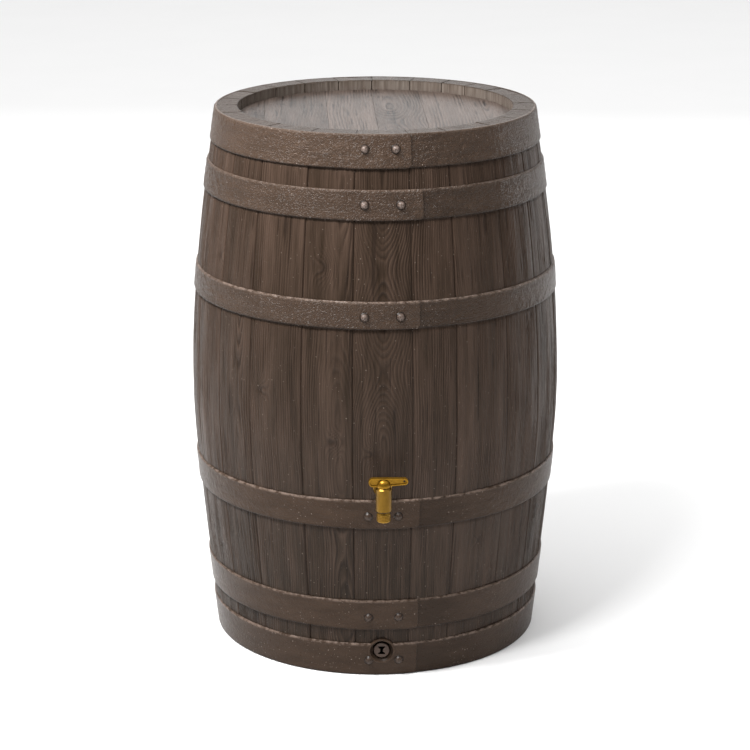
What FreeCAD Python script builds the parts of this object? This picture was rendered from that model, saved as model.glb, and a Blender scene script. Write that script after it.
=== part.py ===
"""A rain barrel in the form of a wine cask: a moulded shell with stave and grain relief, six riveted hoops,
a lift-off lid, a turn-handle tap and a screwed drain plug. Millimetres, +Z up, origin at the centre of the
foot ring, with the tap on the -Y side."""
import FreeCAD, Part
import math
import os

# ---- driving dimensions --------------------------------------------------------------------------------
HEIGHT = 960.0
BELLY_RADIUS = 328.3
BELLY_HEIGHT = 455.0
FOOT_RADIUS = 289.0
HEAD_RADIUS = 279.0
FOOT_FLARE = 0.112            # slope that the stave line tends to below the belly
HEAD_FLARE = 0.25             # and above it
WALL = 4.5
GAP = 0.3                     # between parts that lie close without being a fit
RUNNING_GAP = 0.05            # radial, in a turning or screwed fit

# stave joints, in degrees from the front (-Y) towards +X
STAVE_JOINTS = (-8.9, 9.1, 23, 42, 58, 75, 90, 108, 122, 135.5, 147.7, 162.5, 179.3,
                194, 210, 226, 241, 256, 270, 286, 302, 316.8, 335.2)
JOINT_WIDTH = 2.2
JOINT_DEPTH = 1.2

# the rim, the ledge inside it that carries the lid, and the ring under the barrel
RIM_INSIDE_RADIUS = 242.0
LEDGE_HEIGHT = 935.0
MOUTH_RADIUS = 228.0
MOUTH_LIP = 10.0
FOOT_RING_INSIDE_RADIUS = 262.0
FOOT_RECESS = 12.0

# the lid
LID_TOP = 943.0
LID_RADIUS = 240.5
LID_PLATE = 4.5
LID_SKIRT_RADIUS = 226.5
LID_SKIRT = 3.0
LID_SKIRT_DEPTH = 15.0
LID_RIBS = 8
LID_HUB_RADIUS = 20.0
PLANK_JOINTS = (-195, -84, 0, 87, 192)      # x of the joints between the lid's planks
PLANK_JOINT_WIDTH = 1.6
PLANK_JOINT_DEPTH = 1.0

# the hoops: name, lower edge, upper edge, height of the rivets, then three arc lengths from the front
# towards +X: first rivet, second rivet and the cut end of the lap
HOOPS = (
    ("head_hoop", 904, 960, 935, -28, 23, 49),
    ("upper_quarter_hoop", 819, 869, 844, -29, 31, 69),
    ("upper_bilge_hoop", 638, 684, 658, -30, 30, 63),
    ("lower_bilge_hoop", 283, 336, 306, -24, 27, 64),
    ("lower_quarter_hoop", 89, 145, 113, -23, 29, 63),
    ("foot_hoop", 0, 61, 29, -22, 30, 61),
)
HOOP_THICKNESS = 3.0
HOOP_EDGE = 0.9               # bevel along a hoop's outer edges
LAP_STEP = 1.8                # how far the outer end of the strip stands over the inner one
LAP_START = -62.0             # arc length where the strip climbs over its own end
LAP_CORNER = 7.0
LAP_DROP = 1.0                # the lap reaches a little lower than the rest of the hoop
RIVET_HEAD_RADIUS = 6.75
RIVET_HEAD_HEIGHT = 5.6
RIVET_SHANK_RADIUS = 3.0
RIVET_SEAT_GAP = 0.1          # a flat rivet head on the curved lap

# the tap
TAP_REACH = 375.0             # from the barrel's axis to the tap's upright axis
TAP_INLET_HEIGHT = 360.0
TAP_SEAT = 326.0              # flat pad on the shell, from the barrel's axis
TAP_PAD_RADIUS = 18.0
TAP_PAD_DEPTH = 6.0
TAP_BOSS_RADIUS = 21.0        # the boss behind the pad, inside the shell
TAP_BOSS_DEPTH = 22.0
TAP_INSERT_RADIUS = 15.8
TAP_INSERT_FLANGE = (18.5, 3.0)
TAP_THREAD_RADIUS = 13.22     # a 3/4 inch pipe thread, drawn plain
TAP_THREAD_LENGTH = 17.0
TAP_WASHER = 2.5
TAP_COLLAR_RADIUS = 15.0
TAP_COLLAR = 5.0
TAP_PIPE_RADIUS = 9.5
TAP_WATERWAY_RADIUS = 6.0
TAP_BODY_RADIUS = 13.5
TAP_BODY_BOTTOM = 335.4
TAP_BODY_TOP = 377.0
TAP_SHOULDER = 2.6
TAP_TOP_PLATE = 3.0
ROTOR_CHAMBER_RADIUS = 9.0
ROTOR_BOTTOM = 345.3
ROTOR_BORE_RADIUS = 5.5
STEM_RADIUS = 5.0
STEM_SQUARE = 6.95
STEM_TOP = 385.5
SEAL_SECTION_RADIUS = 0.97
SEAL_GROOVE_WIDTH = 2.4
SEAL_GROOVE_DEPTH = 1.95
SEAL_HEIGHTS = {"tap_rotor_seal_lower": 348.7, "tap_rotor_seal_upper": 370.7}
SPOUT_BOTTOM = 316.6
SPOUT_RADIUS = 11.75
SPOUT_NECK_RADIUS = 10.9
SPOUT_NECK = 4.4
SPOUT_BORE_RADIUS = 7.5
SPOUT_SPIGOT_RADIUS = 10.5
SPOUT_SPIGOT = 9.3
SPOUT_EDGE = 2.0
SPOUT_WASHER = 1.0

# the tap's handle, across the pipe when the tap is shut
HANDLE_TOP = 394.0
HANDLE_DEPTH = 8.0
HANDLE_WEB = 3.0
HANDLE_FLANGE = 1.8
HANDLE_SHORT_ARM = 25.5
HANDLE_SHORT_END_RADIUS = 7.5
HANDLE_LONG_ARM = 41.0
HANDLE_LONG_END_RADIUS = 5.5
HANDLE_FALL = 0.5             # of the top edge, from the short end to the long one
HANDLE_HOLE_RADIUS = 1.9
HANDLE_HOLE_SHIFT = 0.8
HANDLE_RISE = 1.3             # of the bottom edge, from the short end to the hub
HANDLE_LIFT = 0.6             # between the tap body and the hub
HUB_RADIUS = 11.6
HUB_EDGE = 0.8
HUB_TOP = 392.2

# the drain, in a recess low on the front
DRAIN_HEIGHT = 47.0
DRAIN_SEAT = 283.0            # recess floor, from the barrel's axis
DRAIN_RECESS_RADIUS = 20.75
DRAIN_RECESS_FLOOR_RADIUS = 15.7
DRAIN_BEVEL_DEPTH = 6.5
DRAIN_CUP_RADIUS = 25.5
DRAIN_CUP_INSET = 1.0
DRAIN_BOSS_RADIUS = 20.5
DRAIN_BOSS_DEPTH = 20.0
DRAIN_INSERT_RADIUS = 13.0
DRAIN_INSERT_FLANGE = (16.5, 2.5)
DRAIN_THREAD_RADIUS = 10.48   # a 1/2 inch pipe thread, drawn plain
DRAIN_THREAD_LENGTH = 16.0
DRAIN_WASHER = 2.0
DRAIN_HEAD_RADIUS = 14.2
DRAIN_HEAD = 9.0
DRAIN_HEAD_BEVEL = 1.3
KEY_RADIUS = 9.2
KEY_HALF_HEIGHT = 7.3
KEY_HALF_ANGLE = 48.0
KEY_WAIST = 5.4
KEY_DEPTH = 6.5

UP = FreeCAD.Vector(0, 0, 1)
OUTWARD = FreeCAD.Vector(0, -1, 0)
FAR = 1000.0


# ---- shapes --------------------------------------------------------------------------------------------
def vec(x, y, z):
    return FreeCAD.Vector(x, y, z)


def stave_radius(z):
    """Outside radius of the staves: full at the belly, nearly straight towards each end."""
    if z < BELLY_HEIGHT:
        span, end_radius, flare = BELLY_HEIGHT, FOOT_RADIUS, FOOT_FLARE
    else:
        span, end_radius, flare = HEIGHT - BELLY_HEIGHT, HEAD_RADIUS, HEAD_FLARE
    drop = BELLY_RADIUS - end_radius
    softness = ((flare * span) ** 2 - drop ** 2) / (2 * drop)
    return BELLY_RADIUS + softness - math.hypot(flare * (z - BELLY_HEIGHT), softness)


def stave_line(start, end, outward):
    """The stave line between two heights, moved outward, as one edge in the XZ plane."""
    count = max(4, int(abs(end - start) / 60) + 1)
    heights = [start + (end - start) * i / (count - 1) for i in range(count)]
    curve = Part.BSplineCurve()
    curve.interpolate([vec(stave_radius(z) + outward, 0, z) for z in heights])
    return curve.toShape()


def chain(*pieces):
    """A closed wire in the XZ plane: (radius, height) points and ready edges, joined by straight lines."""
    edges = []
    ends = []
    for piece in pieces:
        if isinstance(piece, tuple):
            ends.append((vec(piece[0], 0, piece[1]),) * 2)
        else:
            ends.append((piece.valueAt(piece.FirstParameter), piece.valueAt(piece.LastParameter)))
            edges.append(piece)
    for this, following in zip(ends, ends[1:] + ends[:1]):
        if this[1].distanceToPoint(following[0]) > 1e-6:
            edges.append(Part.LineSegment(this[1], following[0]).toShape())
    return Part.Wire(Part.__sortEdges__(edges))


def arc_edge(*points):
    """An arc through three (radius, height) points."""
    return Part.Arc(*[vec(radius, 0, height) for radius, height in points]).toShape()


def turned(*pieces, start=0.0, sweep=360.0):
    """A solid of revolution about Z, from start to start + sweep degrees measured from the front to +X."""
    face = Part.Face(chain(*pieces))
    face.rotate(vec(0, 0, 0), UP, start - 90)
    return face.revolve(vec(0, 0, 0), UP, sweep)


def rod(radius, start, end, axis=UP):
    """A cylinder between two points, or from a point along an axis for a length."""
    if not isinstance(end, FreeCAD.Vector):
        return Part.makeCylinder(radius, end, start, axis)
    return Part.makeCylinder(radius, (end - start).Length, start, end - start)


def front_rod(radius, height, near, far):
    """A cylinder that points at the front, between two distances from the barrel's axis."""
    return rod(radius, vec(0, -near, height), far - near, OUTWARD)


def front_cone(near_radius, far_radius, height, near, far):
    return Part.makeCone(near_radius, far_radius, far - near, vec(0, -near, height), OUTWARD)


def at_front(shape, arc, height, lift):
    """Moves a shape that points up at the origin onto the barrel: arc from the front, height, and lift."""
    radius = stave_radius(height)
    slope = stave_radius(height + 1) - stave_radius(height - 1)
    angle = arc / radius
    outward = vec(math.sin(angle), -math.cos(angle), -slope / 2)
    outward.normalize()
    centre = vec(radius * math.sin(angle), -radius * math.cos(angle), height) + outward * lift
    moved = shape.copy()
    moved.Placement = FreeCAD.Placement(centre, FreeCAD.Rotation(UP, outward))
    return moved


# ---- shell ---------------------------------------------------------------------------------------------
def joint_cutter():
    """The groove between two staves: along the outside, across the rim and down its inner wall."""
    over = 3.0
    face = Part.Face(chain(
        stave_line(-over, HEIGHT - JOINT_DEPTH, -JOINT_DEPTH),
        (RIM_INSIDE_RADIUS + JOINT_DEPTH, HEIGHT - JOINT_DEPTH),
        (RIM_INSIDE_RADIUS + JOINT_DEPTH, LID_TOP),
        (RIM_INSIDE_RADIUS - over, LID_TOP),
        (RIM_INSIDE_RADIUS - over, HEIGHT + over),
        stave_line(HEIGHT + over, -over, over),
    ))
    face.translate(vec(0, -JOINT_WIDTH / 2, 0))
    return face.extrude(vec(0, JOINT_WIDTH, 0))


def barrel_shell():
    ring_inside = FOOT_RING_INSIDE_RADIUS + WALL
    rim_hidden = RIM_INSIDE_RADIUS + WALL
    shell = turned(
        (0, FOOT_RECESS),
        (FOOT_RING_INSIDE_RADIUS, FOOT_RECESS),
        (FOOT_RING_INSIDE_RADIUS, 0),
        stave_line(0, HEIGHT, 0),
        (RIM_INSIDE_RADIUS, HEIGHT),
        (RIM_INSIDE_RADIUS, LEDGE_HEIGHT),
        (MOUTH_RADIUS, LEDGE_HEIGHT),
        (MOUTH_RADIUS, LEDGE_HEIGHT - MOUTH_LIP),
        (MOUTH_RADIUS + WALL, LEDGE_HEIGHT - MOUTH_LIP),
        (MOUTH_RADIUS + WALL, LEDGE_HEIGHT - WALL),
        (rim_hidden, LEDGE_HEIGHT - WALL),
        (rim_hidden, HEIGHT - WALL),
        stave_line(HEIGHT - WALL, WALL, -WALL),
        (ring_inside, WALL),
        (ring_inside, FOOT_RECESS + WALL),
        (0, FOOT_RECESS + WALL),
    )
    tap_end = TAP_SEAT - TAP_BOSS_DEPTH
    drain_end = DRAIN_SEAT - DRAIN_BOSS_DEPTH
    # the cup's end follows the wall, a little inside its outer face, so that it closes all round
    within_wall = turned((0, 0), stave_line(0, HEIGHT, -DRAIN_CUP_INSET), (0, HEIGHT))
    cup = front_rod(DRAIN_CUP_RADIUS, DRAIN_HEIGHT, DRAIN_SEAT - WALL, FAR).common(within_wall)
    shell = shell.fuse([
        front_rod(TAP_BOSS_RADIUS, TAP_INLET_HEIGHT, tap_end, TAP_SEAT - WALL),
        front_rod(TAP_PAD_RADIUS, TAP_INLET_HEIGHT, TAP_SEAT - TAP_PAD_DEPTH, TAP_SEAT),
        cup,
        front_rod(DRAIN_BOSS_RADIUS, DRAIN_HEIGHT, drain_end, DRAIN_SEAT),
    ])
    cutters = [
        front_rod(TAP_INSERT_RADIUS, TAP_INLET_HEIGHT, tap_end - 1, TAP_SEAT + 1),
        front_rod(DRAIN_INSERT_RADIUS, DRAIN_HEIGHT, drain_end - 1, DRAIN_SEAT + 1),
        drain_recess(0),
    ]
    cutter = joint_cutter()
    for angle in STAVE_JOINTS:
        groove = cutter.copy()
        groove.rotate(vec(0, 0, 0), UP, angle - 90)
        cutters.append(groove)
    return shell.cut(cutters)


def drain_recess(wider):
    """The bevelled recess that the drain plug sits in."""
    mouth = stave_radius(DRAIN_HEIGHT) + GAP + HOOP_THICKNESS
    bevel_end = mouth - DRAIN_BEVEL_DEPTH
    return front_rod(DRAIN_RECESS_FLOOR_RADIUS + wider, DRAIN_HEIGHT, DRAIN_SEAT, bevel_end).fuse([
        front_cone(DRAIN_RECESS_FLOOR_RADIUS + wider, DRAIN_RECESS_RADIUS + wider,
                   DRAIN_HEIGHT, bevel_end, mouth),
        front_rod(DRAIN_RECESS_RADIUS + wider, DRAIN_HEIGHT, mouth, mouth + 10),
    ])


# ---- lid -----------------------------------------------------------------------------------------------
def lid():
    under = LID_TOP - LID_PLATE
    skirt_inside = LID_SKIRT_RADIUS - LID_SKIRT
    skirt_bottom = LEDGE_HEIGHT - LID_SKIRT_DEPTH
    rest = LEDGE_HEIGHT + GAP
    plate = turned(
        (0, LID_TOP), (LID_RADIUS - 1, LID_TOP), (LID_RADIUS, LID_TOP - 1), (LID_RADIUS, rest),
        (LID_SKIRT_RADIUS, rest), (LID_SKIRT_RADIUS, skirt_bottom), (skirt_inside, skirt_bottom),
        (skirt_inside, under), (0, under),
    )
    rib_depth = under - rest
    hub = rod(LID_HUB_RADIUS, vec(0, 0, under - rib_depth), rib_depth + 1)
    ribs = []
    for i in range(LID_RIBS):
        rib = Part.makeBox(skirt_inside + 1, LID_SKIRT, rib_depth + 1,
                           vec(0, -LID_SKIRT / 2, under - rib_depth))
        rib.rotate(vec(0, 0, 0), UP, 360 / LID_RIBS * (i + 0.5))
        ribs.append(rib)
    grooves = [
        Part.makeBox(PLANK_JOINT_WIDTH, 2 * LID_RADIUS, 2 * PLANK_JOINT_DEPTH,
                     vec(x - PLANK_JOINT_WIDTH / 2, -LID_RADIUS, LID_TOP - PLANK_JOINT_DEPTH))
        for x in PLANK_JOINTS
    ]
    return plate.fuse([hub] + ribs).cut(grooves)


# ---- hoops and rivets ----------------------------------------------------------------------------------
def band(low, high, inside, outside, start=0.0, sweep=360.0):
    """A bevelled strip that follows the staves, between two distances out from them."""
    return turned(
        stave_line(low, high, inside),
        (stave_radius(high) + outside - HOOP_EDGE, high),
        stave_line(high - HOOP_EDGE, low + HOOP_EDGE, outside),
        (stave_radius(low) + outside - HOOP_EDGE, low),
        start=start, sweep=sweep,
    )


def lap_outline(low, high, end):
    """A prism through the front with rounded corners at the lap's cut end."""
    width = end - LAP_START
    block = Part.makeBox(width, FAR, high - low, vec(LAP_START, -FAR, low))
    corners = [
        e for e in block.Edges
        if abs(e.Vertexes[0].X - end) < 1e-6 and abs(e.Vertexes[1].X - end) < 1e-6
        and abs(e.Vertexes[0].Z - e.Vertexes[1].Z) < 1e-6
    ]
    return block.makeFillet(LAP_CORNER, corners)


def hoop(low, high, rivet_height, first_rivet, second_rivet, end):
    top = GAP + HOOP_THICKNESS
    ring = band(low, high, GAP, top)
    lap_low = max(low - LAP_DROP, 0)
    reach = math.degrees(FAR / 10 / stave_radius(low))
    lap = band(lap_low, high, GAP + 1, top + LAP_STEP, -reach, 2 * reach)
    lap = lap.common(lap_outline(lap_low, high, end))
    shape = ring.fuse(lap)
    hole = rod(RIVET_SHANK_RADIUS + RUNNING_GAP, vec(0, 0, -4 * HOOP_THICKNESS), 8 * HOOP_THICKNESS)
    cutters = [at_front(hole, arc, rivet_height, 0) for arc in (first_rivet, second_rivet)]
    if low < DRAIN_HEIGHT < high:
        cutters.append(drain_recess(GAP))
    return shape.cut(cutters)


def rivet():
    tail = -(HOOP_THICKNESS + LAP_STEP)
    dome = arc_edge((0, RIVET_HEAD_HEIGHT), (RIVET_HEAD_RADIUS * 0.62, RIVET_HEAD_HEIGHT * 0.72),
                    (RIVET_HEAD_RADIUS, 0))
    return turned(dome, (RIVET_SHANK_RADIUS, 0), (RIVET_SHANK_RADIUS, tail), (0, tail))


def rivet_pair(rivet_height, first_rivet, second_rivet):
    seat = GAP + HOOP_THICKNESS + LAP_STEP + RIVET_SEAT_GAP
    arcs = (first_rivet, second_rivet)
    return Part.makeCompound([at_front(rivet(), arc, rivet_height, seat) for arc in arcs])


# ---- threaded inserts and washers ----------------------------------------------------------------------
def insert(radius, bore, flange, height, seat, depth):
    """A brass bush held in a boss, with its flange against the boss's inner end."""
    end = seat - depth
    flange_radius, flange_thickness = flange
    bush = front_rod(radius - RUNNING_GAP, height, end, seat - GAP)
    bush = bush.fuse(front_rod(flange_radius, height, end - flange_thickness, end))
    return bush.cut(front_rod(bore, height, end - flange_thickness - 1, seat + 1))


def washer(inside, outside, height, seat, thickness):
    return front_rod(outside, height, seat, seat + thickness).cut(
        front_rod(inside, height, seat - 1, seat + thickness + 1))


# ---- tap -----------------------------------------------------------------------------------------------
def on_tap(shape):
    """Moves a shape made about the Z axis onto the tap's upright axis."""
    shape.translate(vec(0, -TAP_REACH, 0))
    return shape


def tap_body():
    chamber_top = TAP_BODY_TOP - TAP_TOP_PLATE
    barrel = on_tap(turned(
        (0, TAP_BODY_BOTTOM),
        (TAP_BODY_RADIUS - 1, TAP_BODY_BOTTOM),
        (TAP_BODY_RADIUS, TAP_BODY_BOTTOM + 1),
        (TAP_BODY_RADIUS, TAP_BODY_TOP - TAP_SHOULDER),
        (TAP_BODY_RADIUS - TAP_SHOULDER, TAP_BODY_TOP),
        (0, TAP_BODY_TOP),
    ))
    collar_back = TAP_SEAT + TAP_WASHER
    thread_end = TAP_SEAT - TAP_THREAD_LENGTH
    body = barrel.fuse([
        front_rod(TAP_PIPE_RADIUS, TAP_INLET_HEIGHT, collar_back, TAP_REACH),
        front_rod(TAP_COLLAR_RADIUS, TAP_INLET_HEIGHT, collar_back, collar_back + TAP_COLLAR),
        front_rod(TAP_THREAD_RADIUS, TAP_INLET_HEIGHT, thread_end, collar_back),
    ])
    return body.cut([
        front_rod(TAP_WATERWAY_RADIUS, TAP_INLET_HEIGHT, thread_end - 1, TAP_REACH),
        on_tap(rod(ROTOR_CHAMBER_RADIUS, vec(0, 0, TAP_BODY_BOTTOM), chamber_top - TAP_BODY_BOTTOM)),
        on_tap(rod(SPOUT_SPIGOT_RADIUS + RUNNING_GAP, vec(0, 0, TAP_BODY_BOTTOM - 1), SPOUT_SPIGOT + 1)),
        on_tap(rod(STEM_RADIUS + RUNNING_GAP, vec(0, 0, chamber_top - 1), TAP_TOP_PLATE + 2)),
    ])


def tap_spout():
    """A nozzle screwed into the body from below: it keeps the rotor in."""
    shoulder = TAP_BODY_BOTTOM - SPOUT_WASHER
    neck = shoulder - SPOUT_NECK
    edge = arc_edge((SPOUT_RADIUS, SPOUT_BOTTOM + SPOUT_EDGE),
                    (SPOUT_RADIUS - 0.3 * SPOUT_EDGE, SPOUT_BOTTOM + 0.3 * SPOUT_EDGE),
                    (SPOUT_RADIUS - SPOUT_EDGE, SPOUT_BOTTOM))
    spigot_top = TAP_BODY_BOTTOM + SPOUT_SPIGOT - GAP
    return on_tap(turned(
        (SPOUT_SPIGOT_RADIUS, spigot_top), (SPOUT_SPIGOT_RADIUS, shoulder), (SPOUT_NECK_RADIUS, shoulder),
        (SPOUT_NECK_RADIUS, neck), (SPOUT_RADIUS, neck - 0.8), edge,
        (SPOUT_BORE_RADIUS, SPOUT_BOTTOM), (SPOUT_BORE_RADIUS, spigot_top),
    ))


def tap_spout_washer():
    ring = rod(SPOUT_NECK_RADIUS + 0.6, vec(0, 0, TAP_BODY_BOTTOM - SPOUT_WASHER), SPOUT_WASHER)
    hole = rod(SPOUT_SPIGOT_RADIUS + RUNNING_GAP, vec(0, 0, TAP_BODY_BOTTOM - 2 * SPOUT_WASHER),
               3 * SPOUT_WASHER)
    return on_tap(ring.cut(hole))


def tap_rotor():
    """The valve: its side port faces -X when shut and the inlet when the handle has turned 90 degrees."""
    radius = ROTOR_CHAMBER_RADIUS - RUNNING_GAP
    top = TAP_BODY_TOP - TAP_TOP_PLATE - GAP
    drum = rod(radius, vec(0, 0, ROTOR_BOTTOM), top - ROTOR_BOTTOM)
    stem = rod(STEM_RADIUS, vec(0, 0, top), TAP_BODY_TOP + HANDLE_LIFT - top)
    square = Part.makeBox(STEM_SQUARE, STEM_SQUARE, STEM_TOP - TAP_BODY_TOP,
                          vec(-STEM_SQUARE / 2, -STEM_SQUARE / 2, TAP_BODY_TOP))
    cutters = [
        rod(ROTOR_BORE_RADIUS, vec(0, 0, ROTOR_BOTTOM - 1), TAP_INLET_HEIGHT - ROTOR_BOTTOM + 1),
        rod(ROTOR_BORE_RADIUS, vec(0, 0, TAP_INLET_HEIGHT), 2 * radius, vec(-1, 0, 0)),
    ]
    for height in SEAL_HEIGHTS.values():
        bottom = height - SEAL_GROOVE_WIDTH / 2
        cutters.append(rod(radius + 1, vec(0, 0, bottom), SEAL_GROOVE_WIDTH).cut(
            rod(radius - SEAL_GROOVE_DEPTH, vec(0, 0, bottom - 1), SEAL_GROOVE_WIDTH + 2)))
    stem_end = square.common(rod(STEM_RADIUS, vec(0, 0, TAP_BODY_TOP), FAR))
    return on_tap(drum.fuse([stem, stem_end]).cut(cutters))


def tap_rotor_seal(height):
    centre = ROTOR_CHAMBER_RADIUS - RUNNING_GAP - SEAL_SECTION_RADIUS
    return on_tap(Part.makeTorus(centre, SEAL_SECTION_RADIUS, vec(0, 0, height)))


def handle_outline():
    """Side view of the handle: a long tapered arm to +X, a short rounded one to -X."""
    left = -HANDLE_SHORT_ARM + HANDLE_SHORT_END_RADIUS
    right = HANDLE_LONG_ARM - HANDLE_LONG_END_RADIUS
    left_bottom = HANDLE_TOP - 2 * HANDLE_SHORT_END_RADIUS
    right_top = HANDLE_TOP - HANDLE_FALL
    right_bottom = right_top - 2 * HANDLE_LONG_END_RADIUS
    left_end = arc_edge((left, left_bottom), (-HANDLE_SHORT_ARM, HANDLE_TOP - HANDLE_SHORT_END_RADIUS),
                        (left, HANDLE_TOP))
    right_end = arc_edge((right, right_top), (HANDLE_LONG_ARM, right_top - HANDLE_LONG_END_RADIUS),
                         (right, right_bottom))
    return chain(left_end, right_end, (HUB_RADIUS, left_bottom + HANDLE_RISE))


def tap_handle():
    outline = handle_outline()
    inner = outline.makeOffset2D(-HANDLE_FLANGE)
    plate = Part.Face(outline).extrude(vec(0, HANDLE_DEPTH, 0))
    plate.translate(vec(0, -HANDLE_DEPTH / 2, 0))
    pocket_depth = (HANDLE_DEPTH - HANDLE_WEB) / 2
    pockets = []
    for side in (-1, 1):
        pocket = Part.Face(inner).extrude(vec(0, side * pocket_depth, 0))
        pocket.translate(vec(0, side * HANDLE_WEB / 2, 0))
        pockets.append(pocket)
    hub_bottom = TAP_BODY_TOP + HANDLE_LIFT
    dome_bottom = HUB_TOP - HUB_RADIUS
    halfway = HUB_RADIUS * math.sin(math.radians(45))
    dome = arc_edge((HUB_RADIUS, dome_bottom), (halfway, dome_bottom + halfway), (0, HUB_TOP))
    hub = turned((HUB_RADIUS - HUB_EDGE, hub_bottom), (HUB_RADIUS, hub_bottom + HUB_EDGE), dome,
                 (0, hub_bottom))
    socket_size = STEM_SQUARE + RUNNING_GAP
    socket = Part.makeBox(socket_size, socket_size, STEM_TOP + GAP - hub_bottom + 1,
                          vec(-socket_size / 2, -socket_size / 2, hub_bottom - 1))
    hole_start = vec(HANDLE_LONG_ARM - HANDLE_LONG_END_RADIUS - HANDLE_HOLE_SHIFT, -HANDLE_DEPTH,
                     HANDLE_TOP - HANDLE_FALL - HANDLE_LONG_END_RADIUS)
    hole = rod(HANDLE_HOLE_RADIUS, hole_start, 2 * HANDLE_DEPTH, vec(0, 1, 0))
    return on_tap(plate.cut(pockets).fuse(hub).cut([socket, hole]))


# ---- drain plug ----------------------------------------------------------------------------------------
def key_slot(face, depth):
    """A bow-tie slot, upright, for the key that turns the plug."""
    disc = front_rod(KEY_RADIUS, DRAIN_HEIGHT, face - depth, face + 1)
    wedges = []
    for side in (-1, 1):
        spread = side * KEY_HALF_HEIGHT * math.tan(math.radians(KEY_HALF_ANGLE))
        end = side * KEY_HALF_HEIGHT
        corners = [vec(0, 0, 0), vec(spread, 0, end), vec(-spread, 0, end)]
        triangle = Part.Face(Part.makePolygon(corners + corners[:1]))
        triangle.translate(vec(0, -(face + 1), DRAIN_HEIGHT))
        wedges.append(triangle.extrude(vec(0, depth + 1, 0)))
    waist = front_rod(KEY_WAIST / 2, DRAIN_HEIGHT, face - depth, face + 1)
    return wedges[0].fuse([wedges[1]]).common(disc).fuse(waist)


def drain_plug():
    seat = DRAIN_SEAT + DRAIN_WASHER
    face = seat + DRAIN_HEAD
    head = front_rod(DRAIN_HEAD_RADIUS, DRAIN_HEIGHT, seat, face - DRAIN_HEAD_BEVEL).fuse([
        front_cone(DRAIN_HEAD_RADIUS, DRAIN_HEAD_RADIUS - DRAIN_HEAD_BEVEL, DRAIN_HEIGHT,
                   face - DRAIN_HEAD_BEVEL, face),
        front_rod(DRAIN_THREAD_RADIUS, DRAIN_HEIGHT, seat - DRAIN_THREAD_LENGTH, seat),
    ])
    return head.cut(key_slot(face, KEY_DEPTH))


# ---- the whole barrel ----------------------------------------------------------------------------------
def nodes():
    made = {"barrel_shell": barrel_shell(), "lid": lid()}
    for name, low, high, rivet_height, first_rivet, second_rivet, end in HOOPS:
        made[name] = hoop(low, high, rivet_height, first_rivet, second_rivet, end)
        made[name + "_rivets"] = rivet_pair(rivet_height, first_rivet, second_rivet)
    made["tap_insert"] = insert(TAP_INSERT_RADIUS, TAP_THREAD_RADIUS + RUNNING_GAP,
                                TAP_INSERT_FLANGE, TAP_INLET_HEIGHT, TAP_SEAT, TAP_BOSS_DEPTH)
    made["tap_washer"] = washer(TAP_THREAD_RADIUS + RUNNING_GAP, TAP_COLLAR_RADIUS - 0.5,
                                TAP_INLET_HEIGHT, TAP_SEAT, TAP_WASHER)
    made["tap_body"] = tap_body()
    made["tap_spout"] = tap_spout()
    made["tap_spout_washer"] = tap_spout_washer()
    made["tap_rotor"] = tap_rotor()
    for name, height in SEAL_HEIGHTS.items():
        made[name] = tap_rotor_seal(height)
    made["tap_handle"] = tap_handle()
    made["drain_insert"] = insert(DRAIN_INSERT_RADIUS, DRAIN_THREAD_RADIUS + RUNNING_GAP,
                                  DRAIN_INSERT_FLANGE, DRAIN_HEIGHT, DRAIN_SEAT, DRAIN_BOSS_DEPTH)
    made["drain_washer"] = washer(DRAIN_THREAD_RADIUS + 3 * RUNNING_GAP, DRAIN_HEAD_RADIUS - 0.25,
                                  DRAIN_HEIGHT, DRAIN_SEAT, DRAIN_WASHER)
    made["drain_plug"] = drain_plug()
    return made


os.makedirs("parts", exist_ok=True)
for node_name, node_shape in nodes().items():
    if not node_shape.isValid():
        raise ValueError(f"{node_name} is not a valid shape")
    node_shape.exportStep(f"parts/{node_name}.step")
    print(f"{node_name}: {len(node_shape.Solids)} solid, {node_shape.Volume / 1000:.1f} cm3")
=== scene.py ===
"""Looks of the rain barrel: embossed staves, hammered hoops, a planked lid, and the small parts' finish.
Lengths are in millimetres until a mesh is made, and angles run from the front (-Y) towards +X."""
import math

import bpy
import numpy as np
from mathutils import Euler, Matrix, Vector


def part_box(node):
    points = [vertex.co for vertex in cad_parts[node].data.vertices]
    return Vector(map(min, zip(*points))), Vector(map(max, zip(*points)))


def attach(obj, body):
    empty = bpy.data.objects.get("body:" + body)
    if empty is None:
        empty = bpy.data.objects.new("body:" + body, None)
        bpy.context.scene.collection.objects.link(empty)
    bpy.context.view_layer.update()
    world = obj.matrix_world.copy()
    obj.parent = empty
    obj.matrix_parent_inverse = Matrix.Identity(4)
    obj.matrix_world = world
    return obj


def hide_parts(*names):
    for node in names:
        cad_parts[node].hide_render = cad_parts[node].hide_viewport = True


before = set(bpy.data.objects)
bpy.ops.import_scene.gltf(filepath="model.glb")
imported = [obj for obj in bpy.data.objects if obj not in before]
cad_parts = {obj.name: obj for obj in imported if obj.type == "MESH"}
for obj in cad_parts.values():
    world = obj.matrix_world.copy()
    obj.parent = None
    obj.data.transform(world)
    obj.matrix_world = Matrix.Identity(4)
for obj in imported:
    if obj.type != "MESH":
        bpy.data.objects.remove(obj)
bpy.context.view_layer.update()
MM = 0.001

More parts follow.
